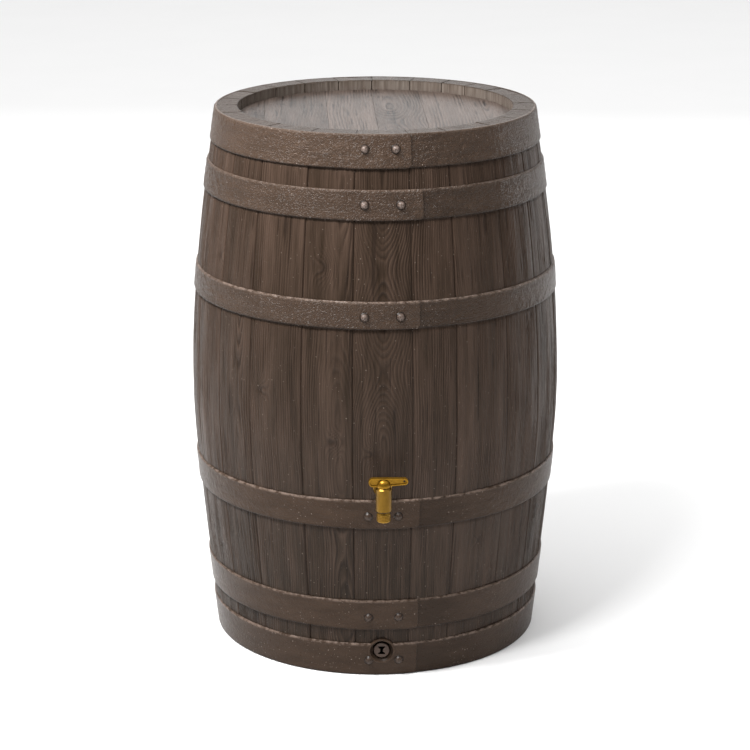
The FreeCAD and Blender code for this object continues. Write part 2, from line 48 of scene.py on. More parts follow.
# ---- the barrel's driving dimensions, as in the CAD model 
HEIGHT = 960.0
BELLY_RADIUS = 328.3
BELLY_HEIGHT = 455.0
FOOT_RADIUS = 289.0
HEAD_RADIUS = 279.0
FOOT_FLARE = 0.112
HEAD_FLARE = 0.25
WALL = 4.5
STAVE_JOINTS = (-8.9, 9.1, 23, 42, 58, 75, 90, 108, 122, 135.5, 147.7, 162.5, 179.3,
                194, 210, 226, 241, 256, 270, 286, 302, 316.8, 335.2, 351.1)
RIM_INSIDE_RADIUS = 242.0
LEDGE_HEIGHT = 935.0
MOUTH_RADIUS = 228.0
MOUTH_LIP = 10.0
FOOT_RING_INSIDE_RADIUS = 262.0
FOOT_RECESS = 12.0
LID_TOP = 943.0
LID_RADIUS = 240.5
LID_SKIRT_RADIUS = 226.5
LID_SKIRT = 3.0
LID_SKIRT_DEPTH = 15.0
LID_GAP = 0.3
PLANK_JOINTS = (-195, -84, 0, 87, 192)

TAP_INLET_HEIGHT = 360.0
TAP_SEAT = 326.0
TAP_PAD_DEPTH = 6.0
TAP_BOSS_RADIUS = 21.0
TAP_BOSS_DEPTH = 22.0
TAP_INSERT_RADIUS = 15.8
DRAIN_HEIGHT = 47.0
DRAIN_SEAT = 283.0
DRAIN_RECESS_RADIUS = 20.75
DRAIN_RECESS_FLOOR_RADIUS = 15.7
DRAIN_BEVEL_DEPTH = 6.5
DRAIN_CUP_RADIUS = 25.5
DRAIN_BOSS_RADIUS = 20.5
DRAIN_BOSS_DEPTH = 20.0
DRAIN_INSERT_RADIUS = 13.0

# name, arc lengths of the two rivets and of the lap's cut end, rivet height
HOOPS = (
    ("head_hoop", -28, 23, 49, 935),
    ("upper_quarter_hoop", -29, 31, 69, 844),
    ("upper_bilge_hoop", -30, 30, 63, 658),
    ("lower_bilge_hoop", -24, 27, 64, 306),
    ("lower_quarter_hoop", -23, 29, 63, 113),
    ("foot_hoop", -22, 30, 61, 29),
)


# ---- camera ----------------------------------------------
CAMERA_DISTANCE = 4.218
CAMERA_HEIGHT = 1.730
CAMERA_AZIMUTH = math.radians(-2.2)
CAMERA_PITCH = math.radians(16.737)
CAMERA_LENS = 116.4
SENSOR_WIDTH = 36.0
CAMERA_PAN = math.radians(0.005)


def add_camera():
    """The photograph's view: from the front, a little to the left and above."""
    data = bpy.data.cameras.new("camera")
    data.lens = CAMERA_LENS
    data.sensor_width = SENSOR_WIDTH
    camera = bpy.data.objects.new("camera", data)
    bpy.context.scene.collection.objects.link(camera)
    camera.location = (CAMERA_DISTANCE * math.sin(CAMERA_AZIMUTH),
                       -CAMERA_DISTANCE * math.cos(CAMERA_AZIMUTH), CAMERA_HEIGHT)
    camera.rotation_euler = Euler((math.pi / 2 - CAMERA_PITCH, 0, CAMERA_AZIMUTH + CAMERA_PAN))
    bpy.context.scene.camera = camera


# ---- random fields ---------------------------------------
def lattice(i, j, seed):
    """A repeatable value between -1 and 1 for each whole-number pair."""
    value = np.sin(i * 127.1 + j * 311.7 + seed * 74.7) * 43758.5453
    return 2 * (value - np.floor(value)) - 1


def noise(x, y, seed):
    """Smooth noise between -1 and 1, one bump to a unit."""
    i, j = np.floor(x), np.floor(y)
    u, v = x - i, y - j
    u = u * u * (3 - 2 * u)
    v = v * v * (3 - 2 * v)
    near = lattice(i, j, seed) * (1 - u) + lattice(i + 1, j, seed) * u
    far = lattice(i, j + 1, seed) * (1 - u) + lattice(i + 1, j + 1, seed) * u
    return near * (1 - v) + far * v


def step(value, low, high):
    """0 below low, 1 above high, smooth between them."""
    t = np.clip((value - low) / (high - low), 0, 1)
    return t * t * (3 - 2 * t)


# ---- meshes ----------------------------------------------
def stave_radius(z):
    """Outside radius of the staves: full at the belly, nearly straight towards each end."""
    z = np.asarray(z, float)
    below = z < BELLY_HEIGHT
    span = np.where(below, BELLY_HEIGHT, HEIGHT - BELLY_HEIGHT)
    flare = np.where(below, FOOT_FLARE, HEAD_FLARE)
    drop = BELLY_RADIUS - np.where(below, FOOT_RADIUS, HEAD_RADIUS)
    softness = ((flare * span) ** 2 - drop ** 2) / (2 * drop)
    return BELLY_RADIUS + softness - np.hypot(flare * (z - BELLY_HEIGHT), softness)


def new_object(name, points, faces, material, body, replaced=(), slot=None, attributes=None, flat=0):
    """A smooth-shaded piece from points in millimetres, riding on a body. Its last faces can be flat."""
    mesh = bpy.data.meshes.new(name)
    mesh.from_pydata((np.asarray(points).reshape(-1, 3) * MM).tolist(), [], faces)
    mesh.polygons.foreach_set("use_smooth", [True] * (len(faces) - flat) + [False] * flat)
    for key, values in (attributes or {}).items():
        layer = mesh.attributes.new(key, "FLOAT", "POINT")
        layer.data.foreach_set("value", np.asarray(values, np.float32).ravel())
    mesh.materials.append(material)
    piece = bpy.data.objects.new(name, mesh)
    bpy.context.scene.collection.objects.link(piece)
    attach(piece, body)
    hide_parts(*replaced)
    return piece


def grid_faces(rows, columns, wrap_rows, wrap_columns):
    """Quads of a grid stored row by row, facing out where rows go up and columns go right."""
    i = np.arange(rows if wrap_rows else rows - 1)
    j = np.arange(columns if wrap_columns else columns - 1)
    i, j = [a.ravel() for a in np.meshgrid(i, j, indexing="ij")]
    up, right = (i + 1) % rows, (j + 1) % columns
    corners = [i * columns + j, i * columns + right, up * columns + right, up * columns + j]
    return np.stack(corners, 1).tolist()


def end_caps(rows, columns):
    """The flat ends of a grid whose rows wrap round: its first and its last column."""
    first = [i * columns for i in range(rows)]
    last = [i * columns + columns - 1 for i in reversed(range(rows))]
    return [first, last]


def around(radius, angle, height):
    """Points from cylinder coordinates, angle in radians."""
    radius, angle, height = np.broadcast_arrays(radius, angle, height)
    return np.stack([radius * np.sin(angle), -radius * np.cos(angle), height], -1)


def lathe_points(profile, segments):
    """A closed profile of (radius, height) turned about Z."""
    profile = np.asarray(profile, float)
    angles = np.linspace(0, 2 * math.pi, segments, endpoint=False)
    return around(profile[:, :1], angles[None, :], profile[:, 1:])


def disc_ends(rows, columns):
    """The flat ends of a grid whose columns wrap round: its first and its last row."""
    last = (rows - 1) * columns
    return [list(range(columns))[::-1], [last + j for j in range(columns)]]


def ring_piece(name, points, material, body, **options):
    """A piece from a grid of points that wraps round both ways."""
    rows, columns = points.shape[:2]
    return new_object(name, points, grid_faces(rows, columns, True, True), material, body, **options)


def spread(*stops):
    """Numbers that run through the stops, given as start, step, next stop, step, and so on."""
    out = [stops[0]]
    for step_size, end in zip(stops[1::2], stops[2::2]):
        count = max(1, round((end - out[-1]) / step_size))
        out += list(np.linspace(out[-1], end, count + 1)[1:])
    return np.array(out)


# ---- materials -------------------------------------------
# the Mix node's colour sockets, which share their names with others
MIX_FIRST, MIX_SECOND, MIX_RESULT = 6, 7, 2


class Paint:
    """A material being built from nodes."""

    def __init__(self, name):
        self.material = bpy.data.materials.new(name)
        self.material.use_nodes = True
        self.tree = self.material.node_tree
        self.shader = self.tree.nodes["Principled BSDF"]

    def node(self, kind, inputs=(), **settings):
        """A new node with its settings and inputs."""
        made = self.tree.nodes.new("ShaderNode" + kind)
        for key, value in settings.items():
            setattr(made, key, value)
        for key, value in dict(inputs).items():
            self.feed(made.inputs[key], value)
        return made

    def feed(self, socket, value):
        """Links another node's output to a socket, or sets a constant on it."""
        if isinstance(value, bpy.types.NodeSocket):
            self.tree.links.new(value, socket)
        else:
            socket.default_value = value

    def math(self, operation, *values, clamp=False):
        made = self.node("Math", operation=operation, use_clamp=clamp)
        for socket, value in zip(made.inputs, values):
            self.feed(socket, value)
        return made.outputs[0]

    def attribute(self, name):
        """One of the mesh's own values, such as its tone."""
        return self.node("Attribute", attribute_name=name).outputs["Fac"]

    def position(self, scale):
        """Object position in metres times a scale for each axis."""
        coordinates = self.node("TexCoord").outputs["Object"]
        made = self.node("VectorMath", operation="MULTIPLY")
        self.feed(made.inputs[0], coordinates)
        made.inputs[1].default_value = scale
        return made.outputs[0]

    def along_barrel(self, across, up):
        """(arc length, height) as a texture position: so many units to a metre each way."""
        coordinates = self.node("TexCoord").outputs["Object"]
        parts = self.node("SeparateXYZ", {"Vector": coordinates})
        angle = self.math("ARCTAN2", parts.outputs["X"], self.math("MULTIPLY", parts.outputs["Y"], -1.0))
        joined = self.node("CombineXYZ", {
            "X": self.math("MULTIPLY", angle, across * BELLY_RADIUS * MM),
            "Y": self.math("MULTIPLY", parts.outputs["Z"], up),
        })
        return joined.outputs[0]

    def noise(self, position, scale=1.0, detail=2.0, roughness=0.5):
        return self.node("TexNoise", {"Vector": position, "Scale": scale, "Detail": detail,
                                      "Roughness": roughness}).outputs["Fac"]

    def ramp(self, value, low, high, out_low=0.0, out_high=1.0):
        """The value mapped from low..high to out_low..out_high, and held at the ends."""
        made = self.node("MapRange", {"Value": value, "From Min": low, "From Max": high,
                                      "To Min": out_low, "To Max": out_high})
        return made.outputs[0]

    def mix(self, share, first, second):
        """The first colour at share 0, the second at share 1."""
        made = self.node("Mix", data_type="RGBA")
        self.feed(made.inputs["Factor"], share)
        self.feed(made.inputs[MIX_FIRST], first)
        self.feed(made.inputs[MIX_SECOND], second)
        return made.outputs[MIX_RESULT]

    def bump(self, height, distance, strength=1.0, normal=None):
        made = self.node("Bump", {"Height": height, "Distance": distance, "Strength": strength})
        if normal is not None:
            self.feed(made.inputs["Normal"], normal)
        return made.outputs[0]

    def finish(self, **inputs):
        """Sets the shader's inputs, named with _ for a space, and gives the finished material."""
        for key, value in inputs.items():
            self.feed(self.shader.inputs[key.replace("_", " ")], value)
        return self.material


def colour(red, green, blue):
    """A colour given as it looks on screen, 0 to 255."""
    return tuple(((c / 255 + 0.055) / 1.055) ** 2.4 if c > 10 else c / 255 / 12.92
                 for c in (red, green, blue)) + (1.0,)


DARK_WOOD = colour(46, 35, 26)
LIGHT_WOOD = colour(79, 63, 53)
DARK_LID = colour(44, 36, 31)
LIGHT_LID = colour(84, 72, 65)
# the next colour darkens the grain lines and joints, and is also painted shade in the crease under each
# hoop
WOOD_GROOVE_AND_SHADE = colour(22, 15, 11)
WOOD_FLECK = colour(140, 126, 116)
# painted light on the rim's inside
PAINTED_LIGHT_WOOD = colour(148, 138, 129)
DARK_HOOP = colour(48, 36, 27)
LIGHT_HOOP = colour(80, 63, 51)
# painted shade along a hoop's lower edge
HOOP_SHADE = colour(20, 14, 11)
# painted highlight along a hoop's top edge
HOOP_HIGHLIGHT = colour(118, 102, 92)
HOOP_SPECK = colour(160, 144, 134)
DARK_RIVET = colour(50, 38, 30)
LIGHT_RIVET = colour(66, 52, 43)
# painted shade round a rivet's foot
RIVET_SHADE = colour(16, 11, 8)
# painted highlight on the upper rivets' tips
RIVET_HIGHLIGHT = colour(134, 118, 110)
DARK_PLUG = colour(62, 46, 37)
LIGHT_PLUG = colour(74, 57, 47)
# painted shade inside the drain plug's key slot
KEY_SLOT_SHADE = colour(6, 5, 4)
FLECK_SHARE = 0.2              # of the staves and the lid
SPECK_SHARE = 0.24             # of the hoops
HOOP_EDGE_SHADE = 0.85               # how dark the painted shade along a hoop's lower edge is
WOOD_BUMP = 0.001              # of the fibres, in metres, as are the other bumps
DENT_BUMP = 0.0016
FOLD_BUMP = 0.0008
GRIT_BUMP = 0.0004
CAST_BUMP = 0.0002
FINE_BUMP = 0.0001
GOLD_BUMP = 0.00005


def speckles(paint, position, share):
    """Small light flecks in the moulding."""
    return paint.ramp(paint.noise(position, 1.0, 0.0), 1 - share, 1 - share + 0.04)


def wood_plastic(name, dark, light, groove_and_shade, gloss, rough_low, across_is_x=False):
    """Brown plastic with moulded grain: tone and groove, with the painted light and shade that they carry,
    and painted light on the rim come from the mesh; fine fibres come from noise.
    """
    paint = Paint(name)
    if across_is_x:
        fine = paint.position((900.0, 30.0, 30.0))
        broad = paint.position((60.0, 8.0, 8.0))
        flecks = paint.position((300.0, 260.0, 260.0))
    else:
        fine = paint.along_barrel(900.0, 30.0)
        broad = paint.along_barrel(60.0, 8.0)
        flecks = paint.along_barrel(300.0, 260.0)
    fibre = paint.noise(fine, 1.0, 3.0, 0.65)
    blotch = paint.noise(broad, 1.0, 3.0)
    tone = paint.math("ADD", paint.attribute("tone"), paint.ramp(blotch, 0.3, 0.7, -0.22, 0.22))
    tone = paint.math("ADD", tone, paint.ramp(fibre, 0.3, 0.7, -0.16, 0.16), clamp=True)
    base = paint.mix(tone, dark, light)
    # groove darkens grain lines and joints, and is also painted shade in the crease under each hoop
    base = paint.mix(paint.math("MULTIPLY", paint.attribute("groove"), groove_and_shade), base, WOOD_GROOVE_AND_SHADE)
    # painted light on the rim's inside
    base = paint.mix(paint.attribute("rim_painted_light"), base, PAINTED_LIGHT_WOOD)
    base = paint.mix(paint.math("MULTIPLY", speckles(paint, flecks, FLECK_SHARE), 0.5), base, WOOD_FLECK)
    rough = paint.ramp(fibre, 0.25, 0.75, rough_low, rough_low + 0.16)
    normal = paint.bump(fibre, WOOD_BUMP, 0.9)
    return paint.finish(Base_Color=base, Roughness=rough, Normal=normal, Specular_IOR_Level=gloss)


def hoop_plastic(name, gloss):
    """The same plastic with a cast, hammered skin and a sprinkle of pale specks."""
    paint = Paint(name)
    dents = paint.noise(paint.along_barrel(150.0, 190.0), 1.0, 2.0, 0.6)
    grit = paint.noise(paint.along_barrel(620.0, 620.0), 1.0, 2.0, 0.6)
    creases = paint.noise(paint.along_barrel(190.0, 240.0), 1.0, 1.0)
    folds = paint.math("ABSOLUTE", paint.math("SUBTRACT", creases, 0.5))
    wear_and_highlight = paint.noise(paint.along_barrel(14.0, 60.0), 1.0, 3.0)
    patches = paint.ramp(paint.noise(paint.along_barrel(9.0, 9.0), 1.0, 1.0), 0.45, 0.62)
    tone = paint.math("ADD", paint.attribute("tone"), paint.ramp(wear_and_highlight, 0.3, 0.7, -0.14, 0.14), clamp=True)
    base = paint.mix(tone, DARK_HOOP, LIGHT_HOOP)
    # painted shade along the hoop's lower edge
    base = paint.mix(paint.math("MULTIPLY", paint.attribute("groove"), HOOP_EDGE_SHADE), base, HOOP_SHADE)
    # painted highlight along the top edge, broken up by noise
    painted_highlight = paint.ramp(paint.noise(paint.along_barrel(110.0, 160.0), 1.0, 3.0, 0.6), 0.38, 0.6)
    painted_highlight = paint.math("MULTIPLY", paint.attribute("wear_and_highlight"), painted_highlight)
    base = paint.mix(painted_highlight, base, HOOP_HIGHLIGHT)
    specks = speckles(paint, paint.along_barrel(330.0, 330.0), SPECK_SHARE)
    specks = paint.math("MULTIPLY", specks, patches)
    base = paint.mix(paint.math("MULTIPLY", specks, 0.7), base, HOOP_SPECK)
    rough = paint.ramp(dents, 0.3, 0.7, 0.26, 0.38)
    hammer = paint.attribute("hammer")
    normal = paint.bump(grit, GRIT_BUMP, 0.5)
    normal = paint.bump(paint.math("MULTIPLY", dents, hammer), DENT_BUMP, 0.7, normal)
    folds = paint.math("MULTIPLY", paint.ramp(folds, 0.0, 0.12), hammer)
    normal = paint.bump(folds, FOLD_BUMP, 0.8, normal)
    return paint.finish(Base_Color=base, Roughness=rough, Normal=normal, Specular_IOR_Level=gloss)


def rivet_plastic():
    """Smoother than the hoops, so that each head carries a clear highlight, with painted shade round its
    foot and a painted highlight on its tip.
    """
    paint = Paint("rivet_plastic")
    cast = paint.noise(paint.position((420.0,) * 3), 1.0, 3.0, 0.6)
    base = paint.mix(paint.ramp(cast, 0.3, 0.7), DARK_RIVET, LIGHT_RIVET)
    # painted shade round the foot
    base = paint.mix(paint.attribute("groove"), base, RIVET_SHADE)
    # painted highlight on the tip
    painted_highlight = paint.math("MULTIPLY", paint.attribute("wear_and_highlight"), paint.ramp(cast, 0.35, 0.6))
    base = paint.mix(painted_highlight, base, RIVET_HIGHLIGHT)
    rough = paint.ramp(cast, 0.3, 0.7, 0.32, 0.42)
    return paint.finish(Base_Color=base, Roughness=rough, Normal=paint.bump(cast, CAST_BUMP, 0.3),
                        Specular_IOR_Level=0.26)


def gold(name, light, dark, rough_low, rough_high):
    """Gold paint over cast metal: satin, with a faint cast texture."""
    paint = Paint(name)
    cast = paint.noise(paint.position((420.0,) * 3), 1.0, 3.0, 0.6)
    stain = paint.noise(paint.position((90.0,) * 3), 1.0, 2.0)
    base = paint.mix(paint.ramp(stain, 0.35, 0.65), dark, light)
    rough = paint.ramp(cast, 0.3, 0.7, rough_low, rough_high)
    return paint.finish(Base_Color=base, Roughness=rough, Metallic=0.75, Specular_IOR_Level=0.3,
                        Normal=paint.bump(cast, GOLD_BUMP, 0.2))


def plain_finish(name, shade, other, rough_low, rough_high, scale, metallic=0.0):
    """Rubber, brass or hard plastic: two close shades and an uneven sheen."""
    paint = Paint(name)
    grain = paint.noise(paint.position((scale,) * 3), 1.0, 3.0, 0.6)
    base = paint.mix(paint.ramp(grain, 0.3, 0.7), shade, other)
    rough = paint.ramp(grain, 0.3, 0.7, rough_low, rough_high)
    return paint.finish(Base_Color=base, Roughness=rough, Metallic=metallic,
                        Normal=paint.bump(grain, FINE_BUMP, 0.25))


def plug_plastic():
    """Brown plastic, with painted shade making it black inside the key slot, that is, behind the plug's
    face, where it is also dull.
    """
    paint = Paint("plug_plastic")
    grain = paint.noise(paint.position((300.0,) * 3), 1.0, 3.0, 0.6)
    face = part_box("drain_plug")[0].y
    back = paint.node("SeparateXYZ", {"Vector": paint.node("TexCoord").outputs["Object"]}).outputs["Y"]
    slot_start, slot_end = face + 0.4 * MM, face + 1.2 * MM
    shadow = paint.ramp(back, slot_start, slot_end)
    gloss = paint.ramp(back, slot_start, slot_end, 0.3, 0.0)
    base = paint.mix(paint.ramp(grain, 0.3, 0.7), DARK_PLUG, LIGHT_PLUG)
    # painted shade inside the key slot
    base = paint.mix(shadow, base, KEY_SLOT_SHADE)
    return paint.finish(Base_Color=base, Roughness=paint.ramp(grain, 0.3, 0.7, 0.38, 0.5),
                        Normal=paint.bump(grain, FINE_BUMP, 0.25), Specular_IOR_Level=gloss)


MATERIALS = {
    "stave_plastic": wood_plastic("stave_plastic", DARK_WOOD, LIGHT_WOOD, 0.5, 0.12, 0.26),
    "lid_plastic": wood_plastic("lid_plastic", DARK_LID, LIGHT_LID, 1.0, 0.22, 0.34, across_is_x=True),
    "hoop_plastic": hoop_plastic("hoop_plastic", 0.11),
    "hammered_plastic": hoop_plastic("hammered_plastic", 0.21),
    "rivet_plastic": rivet_plastic(),
    "plug_plastic": plug_plastic(),
    "rotor_plastic": plain_finish("rotor_plastic", colour(226, 222, 210), colour(236, 233, 224), 0.3, 0.4,
                                  200.0),
    "seal_rubber": plain_finish("seal_rubber", colour(26, 25, 25), colour(36, 35, 34), 0.6, 0.75, 500.0),
    "insert_brass": plain_finish("insert_brass", colour(196, 158, 86), colour(176, 138, 70), 0.3, 0.45,
                                 250.0, metallic=1.0),
    "tap_gold": gold("tap_gold", colour(118, 88, 28), colour(106, 78, 23), 0.3, 0.36),
    "handle_gold": gold("handle_gold", colour(142, 104, 26), colour(130, 94, 22), 0.3, 0.36),
    # the spout's gold is a lighter copy of the body's: painted light
    "spout_gold_painted_light": gold("spout_gold_painted_light", colour(154, 118, 44), colour(142, 106, 38), 0.34, 0.42),
}


# ---- staves ----------------------------------------------
JOINT_HALF_WIDTH = 1.2
JOINT_DEPTH = 1.8
GRAIN_DEPTH = 0.7
GRAIN_RIDGE = 0.35             # of the raised edge beside each grain line
FIBRE_HEIGHT = 0.25
RIDGE_HEIGHT = 0.3             # of the broad unevenness across a board
RING_SPACING = (3.4, 4.4)      # the least and the most, from board to board
KNOT_RINGS = 4                 # rings pushed aside at a knot's middle
KNOT_STRETCH = 1.35            # how much longer a knot is than wide
ARCH_SPAN = 75.0               # how far along the board an arch reaches
ARCH_DEPTH = 30.0
CREASE_WIDTH = 4.0             # of the shadow gap in the staves along a hoop's lower edge
CREASE_DEPTH = 1.6
SHOULDER_DEPTH = 0.7           # how far a stave's edges are rounded down
SHOULDER_WIDTH = 2.5
STAVE_PROUD = 0.45             # how far a whole stave can stand out or in
STAVE_TILT = 0.5
STAVE_SHORT = 0.9              # how far a stave's top can stop below the rim
RIM_NOTCH = 1.6                # of the joints in the rim
RIM_TOP_POINTS = 16
FRONT_SPACING = 1.0            # of the mesh across a stave
BACK_SPACING = 2.4
BACK_START, BACK_END = 100, 260    # angles between which the coarser mesh is used
MOST_TRIANGLES = 185_000       # of one section of the shell
PIN_HOLE = 0.01                # left at the middle of a turned disc, too small to see
ROUND_SIDES = 96
FLOOR_SIDES = 160
FOOT_PAINTED_SHADE = 0.3              # painted shade: how much darker the staves are at the foot
TOP_PAINTED_LIGHT = 0.08                # painted light: how much lighter they are near the rim
RIM_PAINTED_LIGHT = 0.48                # how strongly light is painted on the rim's inside
HIDDEN_TONE = 0.4              # how light the plastic inside the barrel is
# knots of the staves at the front, by stave: arc from the stave's middle, height, radius
KNOTS = {
    0: ((-18, 419, 8),),
    1: (),
    2: ((1, 239, 9),),
    19: ((31, 726, 10), (8, 186, 8)),
    20: (),
    21: ((-28, 514, 9),),
    22: ((-6, 738, 12), (15, 438, 9)),
}
ARCHES = {0: (735, 560)}


def sawn_board(across, along, seed, spacing=None, knots=None, arches=()):
    """Moulded grain of a flat-sawn board: (height, groove, tone), from its growth rings, knots and fibres.
    Knots are (across, along, size); arches are the places along the board where its rings turn back."""
    rng = np.random.default_rng(seed)
    spacing = spacing or rng.uniform(*RING_SPACING)
    side = rng.choice((-1, 1))
    pith = side * (rng.uniform(50, 90) if rng.random() < 0.65 else rng.uniform(0, 22))
    pith = pith + 8 * noise(along / 310, seed, seed)
    depth = rng.uniform(4, 24) + 22 * noise(along / rng.uniform(110, 240), 0.5, seed + 1)
    if arches:
        pith = 4 * noise(along / 310, seed, seed)
        depth = 7 + sum(ARCH_DEPTH * np.exp(-((along - place) / ARCH_SPAN) ** 2) for place in arches)
    if knots is None:
        count = rng.integers(0, 4)
        knots = [(rng.uniform(-26, 26), rng.uniform(60, 900), rng.uniform(5, 10)) for _ in range(count)]
    distance = np.sqrt((across - pith) ** 2 + depth ** 2)
    distance = distance + 1.8 * noise(across / 22, along / 150, seed + 2)
    distance = distance + 0.7 * noise(across / 6, along / 34, seed)
    pit = np.zeros_like(distance)
    near_knot = np.zeros_like(distance)
    for knot_x, knot_y, size in knots:
        reach = np.hypot(across - knot_x, (along - knot_y) / KNOT_STRETCH) / size
        distance = distance + spacing * KNOT_RINGS * np.exp(-(reach / 1.5) ** 2)
        pit = pit + np.exp(-(reach / 0.5) ** 2)
        near_knot = np.maximum(near_knot, np.exp(-(reach / 2.2) ** 2))
    phase = distance / spacing
    phase = phase - np.floor(phase)
    line = np.exp(-((phase - 0.42) / 0.17) ** 2)
    lip = np.exp(-((phase - 0.76) / 0.15) ** 2)
    strength = 0.25 + 0.75 * step(noise(across / 17, along / 120, seed + 3), -0.35, 0.7)
    if arches:
        strength = np.maximum(strength, 0.65)
    strength = np.maximum(strength, near_knot)
    fibre = noise(across / 2.9, along / 60, seed + 4)
    ridge = noise(across / 9, along / 420, seed + 7) + 0.6 * noise(across / 17, along / 900, seed + 8)
    crack = step(noise(across / 3.1, along / 80, seed + 5), 0.62, 0.9)
    groove = np.clip(line * strength + 0.9 * pit + crack, 0, 1)
    height = -GRAIN_DEPTH * (line * strength + pit + crack) + GRAIN_RIDGE * lip * strength
    height = height + FIBRE_HEIGHT * fibre + RIDGE_HEIGHT * ridge
    tone = rng.uniform(0.36, 0.54) + 0.14 * noise(across / 24, along / 210, seed + 6)
    tone = tone + 0.1 * ridge + 0.15 * fibre + 0.3 * lip * strength
    return height, groove, tone


def stave_columns(width, spacing):
    """Distances across a stave, from one joint to the next: close together at the joints."""
    edge = [0.0, 0.6, JOINT_HALF_WIDTH, JOINT_HALF_WIDTH + 0.8, 3.2]
    count = max(2, round((width - 2 * edge[-1]) / spacing))
    middle = np.linspace(edge[-1], width - edge[-1], count + 1)[1:-1]
    return np.concatenate([edge, middle, width - np.array(edge[::-1])])


def stave_rows():
    """Heights up the outside: fine where the staves show, coarse under the hoops."""
    stops = [0.0]
    for name, *_ in reversed(HOOPS):
        low, high = [corner.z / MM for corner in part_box(name)]
        if low > 6:
            stops += [2.8, low + 5]
        stops += [12.0, min(high, HEIGHT) - 5]
    stops += [5.0, HEIGHT]
    return spread(*stops)


def shell_profile(rows):
    """The shell's whole section: from the foot ring up the outside, over the rim and down the inside."""
    hidden = RIM_INSIDE_RADIUS + WALL
    ring_inside = FOOT_RING_INSIDE_RADIUS + WALL
    outside = [(float(stave_radius(z)), z) for z in rows]
    rim = [(r, HEIGHT) for r in np.linspace(HEAD_RADIUS, RIM_INSIDE_RADIUS, RIM_TOP_POINTS)[1:]]
    rim += [(RIM_INSIDE_RADIUS, z) for z in np.linspace(HEIGHT, LID_TOP - 3, 8)[1:]]
    lip_inside = MOUTH_RADIUS + WALL
    lip_bottom = LEDGE_HEIGHT - MOUTH_LIP
    ledge_bottom = LEDGE_HEIGHT - WALL
    floor_top = FOOT_RECESS + WALL
    inside = [(RIM_INSIDE_RADIUS, LEDGE_HEIGHT), (MOUTH_RADIUS, LEDGE_HEIGHT), (MOUTH_RADIUS, lip_bottom),
              (lip_inside, lip_bottom), (lip_inside, ledge_bottom), (hidden, ledge_bottom),
              (hidden, HEIGHT - WALL)]
    inside += [(float(stave_radius(z)) - WALL, z) for z in np.linspace(HEIGHT - WALL, WALL, 24)]
    inside += [(ring_inside, WALL), (ring_inside, floor_top), (FOOT_RING_INSIDE_RADIUS, floor_top),
               (FOOT_RING_INSIDE_RADIUS, 0.0)]
    return np.array(outside + rim + inside), len(outside), len(rim)


def hoop_crease(heights):
    """1 just under each hoop's lower edge, falling to 0 below it."""
    crease = np.zeros_like(heights)
    for name, *_ in HOOPS:
        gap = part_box(name)[0].z / MM + 1.5 - heights
        crease = np.maximum(crease, (gap > 0) * np.exp(-(gap / CREASE_WIDTH) ** 2))
    return crease


def near_ground(heights):
    """1 at the foot, falling to 0 halfway up."""
    return 1 - step(heights, 90, 420)


